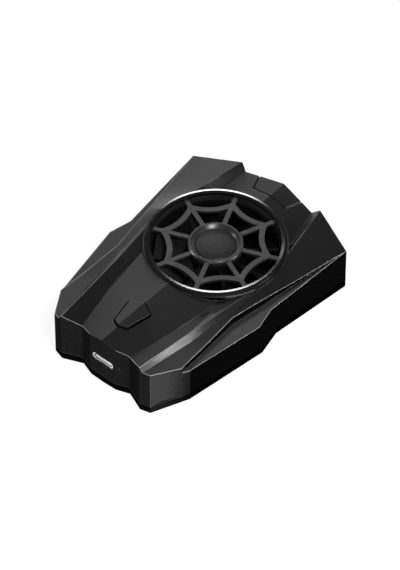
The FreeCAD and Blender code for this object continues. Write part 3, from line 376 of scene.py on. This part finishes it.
def sheen_corner_wall(name, level, highlight_level):
    """Wall of the near corner, with a painted sheen that fades to the rear (a painted reflection, as the
    wall has no specular) and painted highlights on its edges.
    """
    g = Graph(name)
    _, y, z = g.axes(g.place)
    grain = g.noise(0.4 * MM, 3)
    # Painted highlight on raised edges above the rim height and at the corner's tip
    edge = g.times(g.highlit_edges(), g.calculate("MAXIMUM", g.rise(z, RIM_HEIGHT), g.fall(y, CORNER_TIP)))
    # Painted sheen: bright at the near end, darker towards the rear
    near = g.mottle(grain, grey(level), 0.2)
    rear = g.mottle(grain, grey(level * SHEEN_REAR_SHARE), 0.2)
    colour = g.mix(edge, g.mix(g.rise(y, SHEEN_FADE), near, rear), grey(highlight_level))
    return g.finish(colour, g.blend(edge, g.vary(grain, 0.36, 0.5), CORNER_HIGHLIGHT_ROUGHNESS),
                    g.bump(grain, 0.006 * MM), specular=0.0)


def housing_finishes(name, top, ledge, wall, rough, edge):
    """Finishes of a housing piece, in the order of its slots: top, wall, corner with its painted sheen,
    and slope.
    """
    return [housing_top(name + "_top", top, ledge, rough, edge),
            matt_wall(name + "_wall", wall, wall * SHADED_SIDE_SHARE),
            sheen_corner_wall(name + "_corner", wall * CORNER_SHEEN_SHARE, edge),
            housing_top(name + "_slope", top, ledge, rough * SLOPE_ROUGHNESS_SHARE, edge, SLOPE_SPECULAR)]


# Other materials

def plastic(name, level, rough, specular=0.5):
    """Moulded plastic: fine spark-eroded grain, faint clouding and small changes of gloss."""
    g = Graph(name)
    return g.finish(g.mottle(g.noise(12 * MM, 3), grey(level), 0.25),
                    g.vary(g.noise(3.5 * MM, 4), rough * 0.9, rough * 1.12),
                    g.bump(g.noise(0.18 * MM), 0.004 * MM), specular)


def metal(name, colour, rough, streak=(1, 1, 1), size=0.4 * MM, depth=0.002 * MM):
    """Metal with fine directional marks and slight changes of tone."""
    g = Graph(name)
    marks = g.noise(size, 4, 0.6, streak)
    return g.finish(g.mottle(marks, colour, 0.12), g.vary(marks, rough * 0.8, rough * 1.25),
                    g.bump(marks, depth), metallic=1.0)


def coloured(name, colour, rough, size=0.8 * MM, spread=0.15, depth=0.003 * MM):
    """Non-metal surface of any colour with fine mottling."""
    g = Graph(name)
    marks = g.noise(size, 3)
    return g.finish(g.mottle(marks, colour, spread), g.vary(marks, rough * 0.9, rough * 1.1),
                    g.bump(marks, depth))


def dress():
    """Gives each node of the frame its material, or its four where it has slots."""
    # edge is the level of the painted edge highlights
    # ledge is the level of the painted light on the ledges of the right half
    housing = housing_finishes("housing", top=0.008, ledge=0.03, wall=0.017, rough=0.33, edge=0.4)
    base = housing_finishes("base", top=0.006, ledge=0.006, wall=0.004, rough=0.5, edge=0.01)
    button = housing_finishes("button", top=0.008, ledge=0.008, wall=0.006, rough=0.33, edge=0.02)
    bezel = metal("bezel_gloss", (0.18, 0.18, 0.185), rough=0.17, size=0.6 * MM, depth=0.001 * MM)
    grille = plastic("grille_plastic", 0.018, rough=0.29)
    cap = plastic("cap_plastic", 0.01, rough=0.38)
    fan = plastic("fan_plastic", 0.004, rough=0.55, specular=0.12)
    frame_plastic = plastic("frame_plastic", 0.003, rough=0.6, specular=0.15)
    dark = plastic("dark_plastic", 0.02, rough=0.45)
    clear = plastic("light_pipe_clear", 0.001, rough=0.5, specular=0.05)
    steel = metal("steel", (0.6, 0.6, 0.62), rough=0.35)
    socket = metal("tinned_steel", (0.85, 0.85, 0.86), rough=0.22, streak=(1, 12, 1))
    aluminium = metal("aluminium", (0.75, 0.76, 0.78), rough=0.4, streak=(14, 1, 1))
    anodised = metal("black_anodised", (0.03, 0.03, 0.032), rough=0.45, streak=(14, 1, 1))
    copper = metal("copper_winding", (0.72, 0.33, 0.16), rough=0.3, streak=(1, 1, 20))
    bronze = metal("sintered_bronze", (0.55, 0.38, 0.2), rough=0.5)
    screw = metal("screw_steel", (0.16, 0.16, 0.17), rough=0.35)
    magnet = coloured("ferrite", (0.03, 0.03, 0.032), rough=0.6)
    board = coloured("board_green", (0.01, 0.07, 0.035), rough=0.35, size=2 * MM)
    ceramic = coloured("white_ceramic", (0.82, 0.82, 0.8), rough=0.45)
    foam = coloured("foam", (0.03, 0.03, 0.03), rough=0.9, size=0.5 * MM, spread=0.3, depth=0.02 * MM)
    pad = coloured("soft_pad", (0.09, 0.09, 0.1), rough=0.7, size=0.6 * MM, depth=0.005 * MM)
    tongue = coloured("white_tongue", (0.8, 0.8, 0.8), rough=0.4, size=0.6 * MM, spread=0.06)
    finishes = {
        "top_cover": housing, "bottom_cover": base, "bezel_ring": bezel, "web_grille": grille,
        "hub_cap": cap, "power_button": button, "switch_plunger": dark, "switch_body": dark,
        "main_board": board, "socket_shell": socket, "socket_tongue": tongue, "light_pipe": clear,
        "indicator_lamp": clear, "fan_frame": frame_plastic, "impeller": fan, "rotor_yoke": steel,
        "rotor_shaft": steel, "rotor_magnet": magnet, "sleeve_bearing": bronze, "fan_board": board,
        "stator_core": steel, "stator_coils": copper, "heat_sink": anodised,
        "cooling_element": ceramic, "foam_gasket": foam, "cold_plate": aluminium,
        "contact_pad": pad, "housing_screws": screw, "fan_screws": screw, "board_screws": screw,
    }
    for node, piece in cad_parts.items():
        piece.data.materials.clear()
        finish = finishes[node]
        for material in finish if isinstance(finish, list) else [finish]:
            piece.data.materials.append(material)


# Shapes

def sorting_tree():
    """Geometry nodes that give each face its slot: top, wall, near corner or inward slope."""
    tree = bpy.data.node_groups.new("sort_faces", "GeometryNodeTree")
    for way in ("INPUT", "OUTPUT"):
        tree.interface.new_socket("Geometry", in_out=way, socket_type="NodeSocketGeometry")
    normal = tree.nodes.new("GeometryNodeInputNormal").outputs[0]
    place = tree.nodes.new("GeometryNodeInputPosition").outputs[0]
    x, y, _ = feed(tree, tree.nodes.new("ShaderNodeSeparateXYZ"), place).outputs

    def calculate(operation, first, second=0.0):
        """Result of a Math node."""
        node = tree.nodes.new("ShaderNodeMath")
        node.operation = operation
        return feed(tree, node, first, second).outputs[0]

    def facing(direction):
        """How far a face looks in a direction, up to 1."""
        node = tree.nodes.new("ShaderNodeVectorMath")
        node.operation = "DOT_PRODUCT"
        return feed(tree, node, normal, direction).outputs["Value"]

    inward = calculate("MULTIPLY", calculate("SIGN", x), facing((-1, 0, 0)))
    dull = calculate("MAXIMUM", calculate("LESS_THAN", x), calculate("LESS_THAN", y, RIGHT_SLOPE_END))
    sheen_corner = calculate("GREATER_THAN", facing(CORNER_DIRECTION), CORNER_FACING)
    top = calculate("GREATER_THAN", facing((0, 0, 1)), TOP_FACING)
    slope = calculate("MULTIPLY", calculate("MULTIPLY", top, dull),
                      calculate("GREATER_THAN", inward, INWARD_FACING))
    shape = tree.nodes.new("NodeGroupInput").outputs[0]
    for chosen, slot in ((True, WALL), (sheen_corner, SHEEN_CORNER), (top, TOP), (slope, SLOPE)):
        shape = feed(tree, tree.nodes.new("GeometryNodeSetMaterialIndex"), shape, chosen, slot).outputs[0]
    feed(tree, tree.nodes.new("NodeGroupOutput"), shape)
    return tree


def soften(node, width, sorting=None):
    """Rounds a node's sharp edges without moving its faces, and sorts its faces into slots."""
    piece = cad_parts[node]
    weld = piece.modifiers.new("weld", "WELD")
    weld.merge_threshold = WELD_DISTANCE
    flat = piece.modifiers.new("flatten", "DECIMATE")
    flat.decimate_type = "DISSOLVE"
    flat.angle_limit = FLAT_ANGLE
    bevel = piece.modifiers.new("bevel", "BEVEL")
    bevel.width = width
    bevel.segments = EDGE_SEGMENTS
    bevel.limit_method = "ANGLE"
    bevel.angle_limit = EDGE_ANGLE
    if sorting:
        piece.modifiers.new("sort", "NODES").node_group = sorting
    normals = piece.modifiers.new("normals", "WEIGHTED_NORMAL")
    normals.weight = NORMAL_WEIGHT
    normals.thresh = NORMAL_THRESHOLD


def bezel_bead(finish):
    """Ring in the place of the bezel, with an inner and an outer slope that meet in a crest."""
    low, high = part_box("bezel_ring")
    middle_x, middle_y = [(low[i] + high[i]) / 2 for i in range(2)]
    outer = (high[0] - low[0]) / 2
    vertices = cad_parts["bezel_ring"].data.vertices
    inner = min(math.hypot(v.co.x - middle_x, v.co.y - middle_y) for v in vertices)
    shape = bmesh.new()
    rings = []
    for step in range(BEAD_STEPS):
        angle = math.tau * step / BEAD_STEPS
        ring = []
        for across, up in BEAD_SECTION:
            radius = inner + (outer - inner) * across
            ring.append(shape.verts.new((middle_x + radius * math.cos(angle),
                                         middle_y + radius * math.sin(angle),
                                         low[2] + (high[2] - low[2]) * up)))
        rings.append(ring)
    for ring, following in zip(rings, rings[1:] + rings[:1]):
        for k in range(len(ring)):
            after = (k + 1) % len(ring)
            shape.faces.new((ring[k], ring[after], following[after], following[k]))
    bmesh.ops.recalc_face_normals(shape, faces=shape.faces)
    mesh = bpy.data.meshes.new("bezel_bead")
    shape.to_mesh(mesh)
    shape.free()
    mesh.polygons.foreach_set("use_smooth", [True] * len(mesh.polygons))
    mesh.set_sharp_from_angle(angle=BEAD_CREASE)
    mesh.materials.append(finish)
    bead = bpy.data.objects.new("bezel_bead", mesh)
    bpy.context.scene.collection.objects.link(bead)
    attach(bead, "housing")
    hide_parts("bezel_ring")


# Surroundings

def floor_material():
    """White sweep: mostly its own white where it is seen, with a little lamplight for the shadow."""
    g = Graph("studio_floor")
    g.shader.inputs["Roughness"].default_value = 0.9
    g.shader.inputs["Specular IOR Level"].default_value = 0.0
    rays = g.add("ShaderNodeLightPath").outputs
    seen = rays["Is Camera Ray"]
    for name in ("Is Glossy Ray", "Is Transmission Ray"):
        seen = g.calculate("MAXIMUM", seen, rays[name])
    tone = g.mottle(g.noise(0.15), [FLOOR_GREY] * 3, 0.02)
    g.join(g.mix(seen, tone, [FLOOR_SEEN_GREY] * 3), g.shader.inputs["Base Color"])
    g.shader.inputs["Emission Color"].default_value = (*WHITE, 1)
    g.join(g.span(seen, (0.0, 1.0), 0.0, FLOOR_GLOW), g.shader.inputs["Emission Strength"])
    return g.material


def make_floor():
    """Floor at the height on which the part stands."""
    bpy.ops.mesh.primitive_plane_add(size=FLOOR_SIZE, location=(0, 0, 0))
    floor = bpy.context.object
    floor.name = "studio_floor"
    floor.data.materials.append(floor_material())


def make_world():
    """White up to a little above the horizon, and a dark ceiling."""
    world = bpy.data.worlds.new("studio")
    bpy.context.scene.world = world
    world.use_nodes = True
    tree = world.node_tree
    place = tree.nodes.new("ShaderNodeTexCoord").outputs["Generated"]
    height = feed(tree, tree.nodes.new("ShaderNodeSeparateXYZ"), place).outputs["Z"]
    colour = two_tones(tree, height, HORIZON, WHITE, DARK_CEILING)
    feed(tree, tree.nodes["Background"], colour, 1.0)


make_camera()
make_floor()
make_world()
make_lights()
dress()
sorting = sorting_tree()
for node, width in SORTED_EDGES.items():
    soften(node, width, sorting)
soften("web_grille", GRILLE_EDGE)
bezel_bead(bpy.data.materials["bezel_gloss"])

bpy.context.scene.view_settings.view_transform = "Standard"
